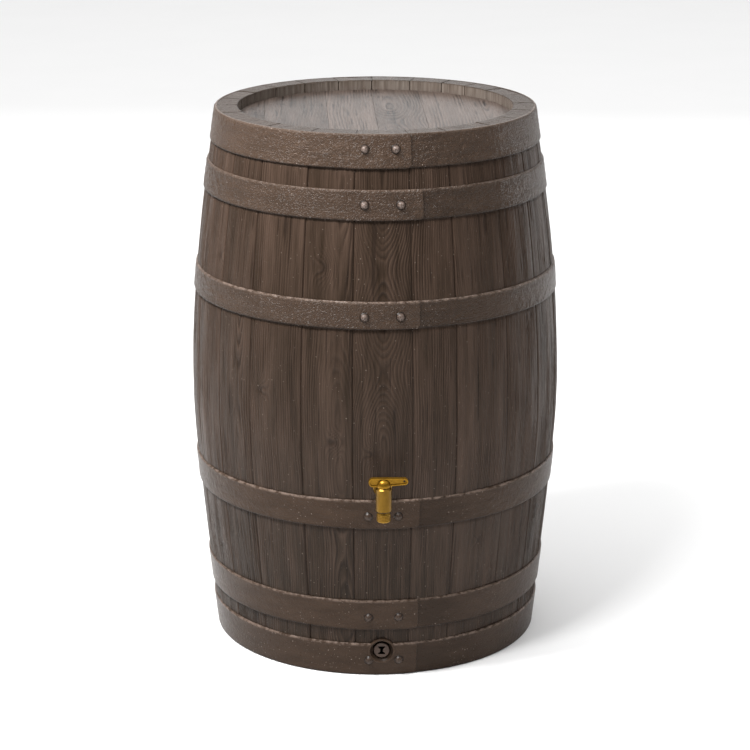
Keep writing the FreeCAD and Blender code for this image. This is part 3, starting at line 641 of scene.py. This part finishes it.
def stave_strip(index, spacing, profile, outside, rim):
    """One stave's share of the shell, joint to joint: its grid of points with groove, tone and painted
    light on the rim's inside; the groove also paints shade under the hoops, the tone shade at the foot and
    light near the rim.
    """
    start, end = STAVE_JOINTS[index], STAVE_JOINTS[index + 1]
    width = math.radians(end - start) * BELLY_RADIUS
    across = stave_columns(width, spacing)
    angle = np.radians(start) + across / BELLY_RADIUS
    seed = 11 + 7 * index
    rng = np.random.default_rng(seed)
    proud = rng.uniform(-STAVE_PROUD, STAVE_PROUD)
    tilt = rng.uniform(-STAVE_TILT, STAVE_TILT)
    top = rng.uniform(-STAVE_SHORT, 0.0)
    edge = np.minimum(across, width - across)
    joint = 1 - step(edge, 0.5, JOINT_HALF_WIDTH + 0.5)
    shoulder = -SHOULDER_DEPTH * np.exp(-edge / SHOULDER_WIDTH)
    lean = proud + tilt * (across / width - 0.5) * 2
    radius = np.repeat(profile[:, :1], len(across), 1)
    height = np.repeat(profile[:, 1:], len(across), 1)
    groove = np.zeros_like(radius)
    tone = np.full_like(radius, HIDDEN_TONE)
    x = (across - width / 2)[None, :] * (profile[:, :1] / BELLY_RADIUS)
    z = profile[:, 1:]
    relief, lines, shade = sawn_board(x, z, seed, knots=KNOTS.get(index), arches=ARCHES.get(index, ()))
    crease = hoop_crease(z)
    joint = np.broadcast_to(joint, x.shape)
    wavy = 0.5 * noise(z / 90, seed + across / 200, seed + 8)
    body = 1 - joint
    whole = relief * body + (lean + shoulder) * body - JOINT_DEPTH * joint - CREASE_DEPTH * crease
    radius[:outside] += (whole + wavy * body)[:outside]
    # the crease under each hoop is painted dark as well as cut in: painted shade
    groove[:outside] = np.maximum(np.maximum(lines, joint), crease)[:outside]
    # painted shade at the foot and painted light near the rim, on top of the grain's tone
    tone[:outside] = (shade - FOOT_PAINTED_SHADE * near_ground(z) + TOP_PAINTED_LIGHT * step(z, 560, 860))[:outside]
    face = slice(outside - 1, outside + rim)
    ends = noise(radius[face] / 5 + 40, x[face] / 4, seed + 9)
    notch = joint[face]
    is_top = np.concatenate([np.ones(RIM_TOP_POINTS), np.zeros(rim + 1 - RIM_TOP_POINTS)])[:, None]
    height[face] += is_top * (-RIM_NOTCH * notch + (top + 0.35 * ends) * (1 - notch))
    grain = 0.35 * noise(x[face] / 2.2, height[face] / 30, seed + 10)
    radius[face] += (1 - is_top) * (RIM_NOTCH * notch + (0.4 + grain) * (1 - notch))
    groove[face] = np.clip(np.maximum(notch, 0.5 * step(ends, 0.2, 0.8)), 0, 1)
    # the rim's inside wall is painted lighter than its top: painted light
    tone[face] = 0.5 - 0.45 * is_top + 0.2 * ends + 0.2 * (shade[outside - 1] - 0.4)
    # painted light on the rim's inside, broken up by the grain
    rim_painted_light = np.zeros_like(radius)
    rim_painted_light[face] = RIM_PAINTED_LIGHT * (1 - is_top) * (1 - groove[face]) * (0.85 + 1.3 * grain)
    return around(radius, angle[None, :], height), groove, tone, rim_painted_light


def front_turned(points, height):
    """Turns points made about the Z axis so that their heights become distances towards the front."""
    x, y, z = points[..., 0], points[..., 1], points[..., 2]
    return np.stack([x, -z, height + y], -1)


CUT_TONE = 0.5                 # how light the plastic inside a cut hole is
CUT_PAST = 12.0                # how far the drain's cut runs past the wall, each way
TAP_CUT_PAST = 20.0
DRAIN_MOUTH_DEPTH = 1.6        # of the straight edge outside the bevel
DRAIN_LIP_SIDES = 120
DRAIN_LIP_WIDTH = 3.4
DRAIN_LIP_HEIGHT = 1.0
DRAIN_LIP_ROOT = 3.0           # how far its sides go down into the barrel


def cutter(name, profile, height):
    """A hidden solid of revolution about a front-to-back line, for cutting a hole."""
    points = front_turned(lathe_points(profile, ROUND_SIDES), height)
    rows, columns = points.shape[:2]
    mesh = bpy.data.meshes.new(name)
    faces = grid_faces(rows, columns, False, True) + disc_ends(rows, columns)
    mesh.from_pydata((points.reshape(-1, 3) * MM).tolist(), [], faces)
    mesh.attributes.new("tone", "FLOAT", "POINT").data.foreach_set("value", [CUT_TONE] * len(mesh.vertices))
    tool = bpy.data.objects.new(name, mesh)
    bpy.context.scene.collection.objects.link(tool)
    return tool


def cut(piece, tool):
    """Cuts the tool's solid out of a piece's mesh."""
    change = piece.modifiers.new("cut", "BOOLEAN")
    change.operation = "DIFFERENCE"
    change.object = tool
    change.solver = "EXACT"
    seen = piece.evaluated_get(bpy.context.evaluated_depsgraph_get())
    made = bpy.data.meshes.new_from_object(seen)
    piece.modifiers.clear()
    piece.data = made


def drain_recess():
    """The outline that cuts the drain's recess: a narrow seat that opens in a bevel to the mouth."""
    mouth = float(stave_radius(DRAIN_HEIGHT)) + HOOP_THICKNESS
    narrow, wide = DRAIN_RECESS_FLOOR_RADIUS, DRAIN_RECESS_RADIUS
    return [(narrow, DRAIN_SEAT - CUT_PAST), (narrow, mouth - DRAIN_BEVEL_DEPTH),
            (wide, mouth - DRAIN_MOUTH_DEPTH), (wide, mouth + CUT_PAST)]


def build_drain_lip():
    """The rounded edge of the drain's recess: a low bead that follows the barrel's curve."""
    inner = DRAIN_RECESS_RADIUS - 0.5
    bead = [(inner + DRAIN_LIP_WIDTH / 2 * (1 - math.cos(turn)), DRAIN_LIP_HEIGHT * math.sin(turn))
            for turn in np.linspace(0, math.pi, 13)]
    section = [(inner, -DRAIN_LIP_ROOT)] + bead + [(inner + DRAIN_LIP_WIDTH, -DRAIN_LIP_ROOT)]
    points = lathe_points(section, DRAIN_LIP_SIDES)
    points[..., 2] -= points[..., 0] ** 2 / (2 * FOOT_RADIUS)
    points = on_barrel(points, 0, DRAIN_HEIGHT, HOOP_THICKNESS)
    # painted light: the bead is painted a little lighter than the foot hoop
    tone = np.full(points.shape[:2], HOOP_TONE_AND_LIGHT["foot_hoop"] + 0.1)
    ring_piece("drain_lip", points, MATERIALS["hoop_plastic"], "barrel",
               replaced=("foot_hoop",), slot="hoop_plastic", attributes={"tone": tone})


def build_fittings():
    """The cup behind the drain and the boss behind the tap, both part of the shell's moulding."""
    material = MATERIALS["stave_plastic"]
    bevel_end = float(stave_radius(DRAIN_HEIGHT)) + HOOP_THICKNESS - DRAIN_BEVEL_DEPTH
    cup = [(DRAIN_INSERT_RADIUS, DRAIN_SEAT), (DRAIN_INSERT_RADIUS, DRAIN_SEAT - DRAIN_BOSS_DEPTH),
           (DRAIN_BOSS_RADIUS, DRAIN_SEAT - DRAIN_BOSS_DEPTH), (DRAIN_BOSS_RADIUS, DRAIN_SEAT - WALL),
           (DRAIN_CUP_RADIUS, DRAIN_SEAT - WALL), (DRAIN_CUP_RADIUS, bevel_end + 0.5),
           (DRAIN_RECESS_FLOOR_RADIUS + 0.3, bevel_end + 0.5), (DRAIN_RECESS_FLOOR_RADIUS, bevel_end - 0.2),
           (DRAIN_RECESS_FLOOR_RADIUS, DRAIN_SEAT)]
    boss_front = TAP_SEAT - TAP_PAD_DEPTH / 2
    boss_back = TAP_SEAT - TAP_BOSS_DEPTH
    boss = [(TAP_INSERT_RADIUS, boss_front), (TAP_INSERT_RADIUS, boss_back),
            (TAP_BOSS_RADIUS, boss_back), (TAP_BOSS_RADIUS, boss_front)]
    for name, profile, height in (("drain_cup", cup, DRAIN_HEIGHT), ("tap_boss", boss, TAP_INLET_HEIGHT)):
        points = front_turned(lathe_points(profile, ROUND_SIDES), height)
        ring_piece(name, points, material, "barrel", replaced=("barrel_shell",), slot="stave_plastic",
                   attributes={"tone": np.full(points.shape[:2], HIDDEN_TONE)})


def side_by_side(fields):
    """The same field of neighbouring strips as one grid, without the columns that they share."""
    return np.concatenate([fields[0]] + [field[:, 1:] for field in fields[1:]], 1)


def build_shell():
    """The shell as wedges that meet at stave joints, so that no mesh is too large, and its floor.
    Returns the front wedge, which the tap and the drain pass through."""
    material = MATERIALS["stave_plastic"]
    rows = stave_rows()
    profile, outside, rim = shell_profile(rows)
    most_columns = MOST_TRIANGLES // (2 * len(profile))
    strips, wedges = [], []
    for index in range(len(STAVE_JOINTS) - 1):
        middle = (STAVE_JOINTS[index] + STAVE_JOINTS[index + 1]) / 2
        spacing = BACK_SPACING if BACK_START < middle < BACK_END else FRONT_SPACING
        strips.append(stave_strip(index, spacing, profile, outside, rim))
    group = []
    for strip in strips:
        if group and sum(points.shape[1] for points, *_ in group + [strip]) > most_columns:
            wedges.append(group)
            group = []
        group.append(strip)
    wedges.append(group)
    made = []
    for number, group in enumerate(wedges):
        points, groove, tone, rim_painted_light = [side_by_side(fields) for fields in zip(*group)]
        count, columns = points.shape[:2]
        faces = grid_faces(count, columns, True, False) + end_caps(count, columns)
        made.append(new_object(f"shell_staves_{number + 1}", points, faces, material, "barrel",
                               replaced=("barrel_shell",), slot="stave_plastic", flat=2,
                               attributes={"groove": groove, "tone": tone, "rim_painted_light": rim_painted_light}))
    reach = FOOT_RING_INSIDE_RADIUS + 2
    floor = [(PIN_HOLE, FOOT_RECESS), (reach, FOOT_RECESS),
             (reach, FOOT_RECESS + WALL), (PIN_HOLE, FOOT_RECESS + WALL)]
    points = lathe_points(floor, FLOOR_SIDES)
    ring_piece("shell_floor", points, material, "barrel", replaced=("barrel_shell",), slot="stave_plastic",
               attributes={"tone": np.full(points.shape[:2], HIDDEN_TONE)})
    return made[0]


# ---- hoops and rivets ------------------------------------
HOOP_THICKNESS = 3.3
HOOP_BACK = -1.5               # a hoop's back lies a little inside the staves, so no light shows behind it
HOOP_ROUND = 1.6               # of a hoop's lower edge
HOOP_TOP_ROUND = 3.6           # how far down a hoop's rounded top edge starts
HOOP_TOP_DEPTH = 2.6           # how far back it goes
HOOP_SPACING = 2.4             # of the mesh along a hoop
LAP_SPACING = 0.3              # and at the lap's cut end
HOOP_ROW_SPACING = 2.0
# how strongly a painted highlight lightens the top edge
HOOP_EDGE_HIGHLIGHT = {"head_hoop": 0.1, "upper_quarter_hoop": 0.35, "upper_bilge_hoop": 0.8,
             "lower_bilge_hoop": 0.9, "lower_quarter_hoop": 0.7, "foot_hoop": 0.9}
# how light each hoop is, 0 dark to 1 light: the plastic's tone, with painted light making the upper hoops
# lighter and painted shade the lower ones darker
HOOP_TONE_AND_LIGHT = {"head_hoop": 0.66, "upper_quarter_hoop": 0.5, "upper_bilge_hoop": 0.45,
             "lower_bilge_hoop": 0.38, "lower_quarter_hoop": 0.32, "foot_hoop": 0.28}
# how strongly it is hammered
HOOP_HAMMER = {"head_hoop": 1.0, "upper_quarter_hoop": 1.0, "upper_bilge_hoop": 0.9,
               "lower_bilge_hoop": 0.5, "lower_quarter_hoop": 0.35, "foot_hoop": 0.3}
HAMMERED_FROM = 0.8            # hoops hammered more strongly than this are glossier
LAP_STEP = 1.8                 # how far the strip under the lap lies lower
LAP_START = -62.0              # arc from which the lap reaches lower
LAP_CORNER = 7.0               # radius of the cut end's corners
LAP_DROP = 1.0                 # how far the lap reaches below the strip
LAP_FADE = 170.0               # arc over which the strip under the lap rises to full height again


def hammered(arc, height, seed):
    """Cast skin: shallow overlapping dents with creased edges, in patches."""
    shift = 3 * noise(arc / 19, height / 15, seed + 2)
    coarse = np.abs(noise((arc + shift) / 11, (height - shift) / 8, seed))
    fine = np.abs(noise((arc - shift) / 5.2 + 30, (height + shift) / 4.2, seed + 1))
    patch = 0.55 + 0.45 * noise(arc / 70, height / 40, seed + 3)
    return patch * (1.7 * coarse + 0.4 * fine) - 0.5


def build_hoop(name, lap_end, seed):
    """A hammered strip round the barrel, lapped over its own start, with rounded edges."""
    low, high = [corner.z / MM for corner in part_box(name)]
    off_ground = low > LAP_DROP
    low = low + LAP_DROP * off_ground
    turn = math.pi * 2 * BELLY_RADIUS
    scale = float(stave_radius((low + high) / 2)) / BELLY_RADIUS
    end = lap_end / scale
    arcs = spread(-turn / 2, HOOP_SPACING, end - 2, LAP_SPACING, end + 2, HOOP_SPACING, turn / 2)[:-1]
    angle = arcs / BELLY_RADIUS
    arc = arcs * scale
    body_rows = spread(low + HOOP_ROUND, HOOP_ROW_SPACING, high - HOOP_TOP_ROUND)
    bottom = [(low + HOOP_ROUND * (1 - math.cos(b)), HOOP_ROUND * (1 - math.sin(b)))
              for b in np.radians([0, 30, 60])]
    top = [(high - HOOP_TOP_ROUND * (1 - math.cos(b)), HOOP_TOP_DEPTH * (1 - math.sin(b)))
           for b in np.radians([75, 60, 45, 30, 15, 0])]
    outer = bottom + [(z, 0.0) for z in body_rows] + top
    heights = np.array([z for z, _ in outer])[:, None]
    inset = np.array([i for _, i in outer])[:, None]
    corner_x = np.maximum(arc[None, :] - (lap_end - LAP_CORNER), 0)
    corner_z = np.maximum(np.abs(heights - (low + high) / 2) - ((high - low) / 2 - LAP_CORNER), 0)
    outline = np.where(corner_z > 0, np.hypot(corner_x, corner_z), corner_x) - LAP_CORNER
    over = 1 - step(outline, -0.5, 0.4)
    rise = step(arc[None, :], lap_end, lap_end + LAP_FADE)
    lift = HOOP_THICKNESS - LAP_STEP * (1 - np.maximum(over * (arc[None, :] < lap_end + 1), rise))
    edge_fade = step(heights, low, low + 4) * (1 - step(heights, high - 4, high))
    skin = hammered(arc[None, :], heights, seed) * (0.35 + 0.65 * edge_fade) * HOOP_HAMMER[name]
    radius = stave_radius(heights) + lift - inset + skin
    drop = LAP_DROP * over * (arc[None, :] > LAP_START) * (1 - step(heights, low, low + 12))
    z = heights - drop * off_ground
    under_lap = (1 - np.maximum(over, rise)) * (arc[None, :] > 0)
    # the strip beyond the lap's cut end is painted darker: painted shade below the lap's step
    tone = HOOP_TONE_AND_LIGHT[name] - 0.3 * under_lap
    # painted shade along the lower edge
    groove = np.exp(-(heights - low) / 1.4)
    # painted highlight along the rounded top edge
    wear_and_highlight = HOOP_EDGE_HIGHLIGHT[name] * step(heights, high - HOOP_TOP_ROUND - 0.8, high - HOOP_TOP_ROUND + 1.2)
    tone, groove, wear_and_highlight = [np.broadcast_to(field, radius.shape) for field in (tone, groove, wear_and_highlight)]
    back = np.broadcast_to(np.array([[high], [low]]), (2, len(arcs)))
    tone, groove, wear_and_highlight = [np.concatenate([field, np.zeros_like(back)]) for field in (tone, groove, wear_and_highlight)]
    hammer = np.full_like(tone, HOOP_HAMMER[name])
    back_radius = stave_radius(back) + HOOP_BACK
    points = around(np.concatenate([radius, back_radius]), angle[None, :], np.concatenate([z, back]))
    faces = grid_faces(len(points), len(arcs), True, True)
    finish = "hammered_plastic" if HOOP_HAMMER[name] > HAMMERED_FROM else "hoop_plastic"
    return new_object(name + "_strip", points, faces, MATERIALS[finish], "barrel",
                      replaced=(name,), slot="hoop_plastic",
                      attributes={"tone": tone, "groove": groove, "wear_and_highlight": wear_and_highlight, "hammer": hammer})


def on_barrel(points, arc, height, lift):
    """Moves points made about the Z axis onto the barrel, Z becoming outward."""
    radius = float(stave_radius(height))
    slope = float(stave_radius(height + 1) - stave_radius(height - 1))
    angle = arc / radius
    outward = Vector((math.sin(angle), -math.cos(angle), -slope / 2)).normalized()
    turn = np.array(outward.to_track_quat("Z", "Y").to_matrix())
    foot = np.array([radius * math.sin(angle), -radius * math.cos(angle), height])
    return points @ turn.T + (foot + np.array(outward) * lift)


# (radius, height) up a rivet's head, and how much painted shade and painted highlight it has at each of
# these points
RIVET_PROFILE = [(8.3, -1.6), (8.1, 0.0), (7.3, 0.5), (6.8, 1.2), (6.1, 2.3),
                 (5.3, 3.4), (4.3, 4.4), (3.1, 5.2), (1.7, 5.7), (0.05, 5.9)]
RIVET_FOOT_SHADE = [1.0, 1.0, 0.9, 0.3] + [0.0] * 6
RIVET_TIP_HIGHLIGHT = [0.0] * 4 + [0.2, 0.5, 0.8, 1.0, 1.0, 1.0]
RIVET_SIDES = 28


def rivet_points(seed):
    """A hand-closed rivet head: a blunt, slightly lopsided cone with a rounded foot."""
    points = lathe_points(RIVET_PROFILE, RIVET_SIDES)
    lumps = noise(points[..., 0] / 3, points[..., 1] / 3, seed)
    points[..., :2] *= (1 + 0.04 * lumps)[..., None]
    points[..., 2] += 0.2 * lumps * (points[..., 2] > 0)
    return points


def build_rivets(name, first, second, height, seed):
    """The two rivets of a hoop, with painted shade round the foot and a painted highlight on the tip that
    is stronger the higher they are.
    """
    stacks, faces = [], []
    for number, arc in enumerate((first, second)):
        points = rivet_points(seed + number)
        rows, columns = points.shape[:2]
        start = number * rows * columns
        head = grid_faces(rows, columns, False, True) + disc_ends(rows, columns)
        faces += [[v + start for v in face] for face in head]
        stacks.append(on_barrel(points, arc, height, HOOP_THICKNESS).reshape(-1, 3))
    heads = np.concatenate(stacks)
    # painted shade round each foot
    foot = np.repeat(np.tile(RIVET_FOOT_SHADE, 2), RIVET_SIDES)
    # painted highlight on the tips, stronger the higher the rivet
    tip = np.repeat(np.tile(RIVET_TIP_HIGHLIGHT, 2), RIVET_SIDES) * step(np.array([height]), 300, 900)
    new_object(name + "_rivet_heads", heads, faces, MATERIALS["rivet_plastic"], "barrel",
               replaced=(name + "_rivets",), slot="rivet_plastic", attributes={"groove": foot, "wear_and_highlight": tip})


# ---- lid -------------------------------------------------
PLANK_THICKNESS = 4.5
PLANK_GAP = 0.12               # each side of a joint
PLANK_ROWS = 150
PLANK_RING_SPACING = 5.5
PLANK_TONES_AND_SHEEN = (0.0, -0.05, 0.28, 0.1, 0.45, 0.45)   # how much lighter each plank is, left to right: partly the planks' own tone, partly painted sheen, lighter towards the right
LID_SIDES = 200
LID_BASE_TONE = 0.3


def build_plank(left, right, lighter, seed):
    """One plank of the lid: a closed slab with a round end at each side of the disc."""
    reach = LID_RADIUS - 0.4
    start = max(left, -reach + 0.3) + PLANK_GAP
    end = min(right, reach - 0.3) - PLANK_GAP
    x = spread(start, 0.3, start + 0.6, 1.7, end - 0.6, 0.3, end)
    edge = np.minimum(x - x[0], x[-1] - x)
    share = np.linspace(-1, 1, PLANK_ROWS)[:, None]
    limit = np.sqrt(reach ** 2 - x ** 2)[None, :]
    y = share * limit
    rng = np.random.default_rng(seed)
    across = x[None, :] - (left + right) / 2
    relief, lines, shade = sawn_board(across, y + HEIGHT / 2, seed, spacing=PLANK_RING_SPACING)
    rim_gap = (1 - np.abs(share)) * limit
    soft = 0.5 * np.exp(-edge[None, :] / 0.25) + np.exp(-rim_gap / 1.0)
    top = LID_TOP + 0.6 * relief - 0.5 * np.clip(soft, 0, 1) + rng.uniform(-0.3, 0.1)
    xs = np.broadcast_to(x[None, :], y.shape)
    upper = np.stack([xs, y, top], -1)
    lower = np.stack([xs, y, np.full_like(y, LID_TOP - PLANK_THICKNESS)], -1)
    rows, columns = y.shape
    count = rows * columns
    up = grid_faces(rows, columns, False, False)
    down = [[v + count for v in face[::-1]] for face in up]
    border = list(range(columns)) + [i * columns + columns - 1 for i in range(1, rows)]
    border += [(rows - 1) * columns + j for j in range(columns - 2, -1, -1)]
    border += [i * columns for i in range(rows - 2, 0, -1)]
    sides = [[b, a, a + count, b + count] for a, b in zip(border, border[1:] + border[:1])]
    points = np.concatenate([upper.reshape(-1, 3), lower.reshape(-1, 3)])
    groove = np.concatenate([np.maximum(lines, np.clip(soft, 0, 1)).ravel(), np.zeros(count)])
    tone = np.concatenate([(shade + lighter).ravel(), np.full(count, HIDDEN_TONE)])
    return points, up + down + sides, groove, tone


def build_lid():
    """The planked top, and the disc with its skirt underneath."""
    edges = (-LID_RADIUS,) + PLANK_JOINTS + (LID_RADIUS,)
    points, faces, groove, tone = [], [], [], []
    for number, (left, right) in enumerate(zip(edges, edges[1:])):
        plank = build_plank(left, right, PLANK_TONES_AND_SHEEN[number], 300 + 13 * number)
        start = sum(len(p) for p in points)
        points.append(plank[0])
        faces += [[v + start for v in face] for face in plank[1]]
        groove.append(plank[2])
        tone.append(plank[3])
    new_object("lid_planks", np.concatenate(points), faces, MATERIALS["lid_plastic"], "lid",
               replaced=("lid",), slot="lid_plastic",
               attributes={"groove": np.concatenate(groove), "tone": np.concatenate(tone)})
    under = LID_TOP - PLANK_THICKNESS
    rest = LEDGE_HEIGHT + LID_GAP
    skirt_bottom = LEDGE_HEIGHT - LID_SKIRT_DEPTH
    skirt_inside = LID_SKIRT_RADIUS - LID_SKIRT
    base = [(PIN_HOLE, under - 0.6), (skirt_inside, under - 0.6), (skirt_inside, skirt_bottom),
            (LID_SKIRT_RADIUS, skirt_bottom), (LID_SKIRT_RADIUS, rest), (LID_RADIUS, rest),
            (LID_RADIUS, under), (LID_RADIUS - 0.6, under + 1.2), (PIN_HOLE, under + 1.2)]
    points = lathe_points(base, LID_SIDES)
    ring_piece("lid_base", points, MATERIALS["lid_plastic"], "lid", replaced=("lid",), slot="lid_plastic",
               attributes={"tone": np.full(points.shape[:2], LID_BASE_TONE)})


# ---- tap, drain and the parts that keep their CAD shape -
SPOUT_AXIS = 375.0
SPOUT_RINGS = 4
SPOUT_RING_DEPTH = 0.9
SPOUT_LIP = 2.2                # how far its lower edge is rounded
SPOUT_NECK = 5.2               # of plain wall above the rings
SPOUT_BORE_RADIUS = 7.5


def build_spout():
    """The tap's outlet: shallow rings cut round it and a rounded lip."""
    near_corner, far_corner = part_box("tap_spout")
    low, high = near_corner.z / MM, far_corner.z / MM
    radius = (far_corner.x - near_corner.x) / MM / 2
    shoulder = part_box("tap_spout_washer")[0].z / MM
    first = low + SPOUT_LIP
    outside = [(radius - SPOUT_LIP, low), (radius - 1.2, low + 0.3),
               (radius - 0.4, low + 1.1), (radius, first)]
    pitch = (shoulder - SPOUT_NECK - first) / SPOUT_RINGS
    groove = radius - SPOUT_RING_DEPTH
    for ring in range(SPOUT_RINGS):
        start = first + ring * pitch
        outside += [(radius, start + 0.3 * pitch), (groove, start + 0.55 * pitch),
                    (groove, start + 0.75 * pitch), (radius, start + pitch)]
    outside += [(radius - 0.8, shoulder - 4.4), (radius - 0.8, shoulder), (radius - 1.25, shoulder),
                (radius - 1.25, high), (SPOUT_BORE_RADIUS, high), (SPOUT_BORE_RADIUS, low)]
    points = lathe_points(outside, ROUND_SIDES)
    points[..., 1] -= SPOUT_AXIS
    # the spout's lighter gold is painted light
    ring_piece("spout_ringed", points, MATERIALS["spout_gold_painted_light"], "barrel",
               replaced=("tap_spout",), slot="tap_brass")


CAD_FINISHES = {
    "tap_body": "tap_gold", "tap_handle": "handle_gold", "tap_rotor": "rotor_plastic",
    "tap_insert": "insert_brass", "drain_insert": "insert_brass", "drain_plug": "plug_plastic",
    "tap_washer": "seal_rubber", "tap_spout_washer": "seal_rubber", "drain_washer": "seal_rubber",
    "tap_rotor_seal_lower": "seal_rubber", "tap_rotor_seal_upper": "seal_rubber",
}


def finish_cad_parts():
    """Gives the parts that keep their CAD mesh their materials."""
    for node, finish in CAD_FINISHES.items():
        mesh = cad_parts[node].data
        mesh.materials.clear()
        mesh.materials.append(MATERIALS[finish])


# ---- stage -----------------------------------------------
WORLD_STRENGTH = 0.2
FLOOR_HALF = 30.0
FLOOR_DROP = 0.0005            # so that the floor and the foot's underside don't share a plane
# name, place, target, width, height (all in metres) and power in watts
LIGHTS = (
    ("overhead", (0, 4.5, 7.0), (0, 4.5, 0), 20.0, 20.0, 1300),
    ("key", (-0.6, -1.1, 2.7), (0, -0.1, 0.7), 0.4, 0.4, 34),
    ("left", (-1.2, -0.7, 2.5), (-0.15, -0.1, 0.9), 0.5, 0.5, 64),
    ("strip", (2.2, 1.6, 0.9), (0.2, -0.1, 0.7), 0.25, 1.7, 8),
    ("back", (0.4, 4.6, 2.1), (0, 0, 0.9), 4.6, 1.4, 33),
)


def add_light(name, place, target, width, height, power):
    """A white rectangular light that points at its target."""
    data = bpy.data.lights.new(name, "AREA")
    data.shape = "RECTANGLE"
    data.size = width
    data.size_y = height
    data.energy = power
    light = bpy.data.objects.new(name, data)
    light.location = place
    light.rotation_euler = (Vector(target) - Vector(place)).to_track_quat("-Z", "Y").to_euler()
    bpy.context.scene.collection.objects.link(light)


def add_floor():
    """A white floor, which is part of the stage and not of the object."""
    paint = Paint("floor")
    cloudy = paint.noise(paint.position((3.0,) * 3), 1.0, 2.0)
    paint.finish(Base_Color=paint.mix(cloudy, colour(250, 250, 250), colour(253, 253, 253)),
                 Roughness=0.9, Specular_IOR_Level=0.1)
    half = FLOOR_HALF
    corners = [(-half, -half, 0), (half, -half, 0), (half, half, 0), (-half, half, 0)]
    mesh = bpy.data.meshes.new("floor")
    mesh.from_pydata(corners, [], [(0, 1, 2, 3)])
    mesh.materials.append(paint.material)
    floor = bpy.data.objects.new("floor", mesh)
    floor.location.z = -FLOOR_DROP
    bpy.context.scene.collection.objects.link(floor)


def add_stage():
    """White surroundings, the floor and the lights."""
    world = bpy.data.worlds.new("studio")
    world.use_nodes = True
    background = world.node_tree.nodes["Background"]
    background.inputs["Color"].default_value = (1, 1, 1, 1)
    background.inputs["Strength"].default_value = WORLD_STRENGTH
    bpy.context.scene.world = world
    bpy.context.scene.view_settings.view_transform = "Standard"
    add_floor()
    for light in LIGHTS:
        add_light(*light)


add_camera()
add_stage()
front_staves = build_shell()
build_fittings()
drain_tool = cutter("drain_tool", drain_recess(), DRAIN_HEIGHT)
tap_hole = [(TAP_INSERT_RADIUS, TAP_SEAT - TAP_CUT_PAST), (TAP_INSERT_RADIUS, TAP_SEAT + TAP_CUT_PAST)]
tap_tool = cutter("tap_tool", tap_hole, TAP_INLET_HEIGHT)
cut(front_staves, drain_tool)
cut(front_staves, tap_tool)
for number, (hoop, first, second, lap_end, rivet_height) in enumerate(HOOPS):
    strip = build_hoop(hoop, lap_end, 60 + 5 * number)
    if hoop == "foot_hoop":
        cut(strip, drain_tool)
    build_rivets(hoop, first, second, rivet_height, 90 + 3 * number)
for tool in (drain_tool, tap_tool):
    bpy.data.objects.remove(tool)
build_drain_lip()
build_lid()
build_spout()
finish_cad_parts()
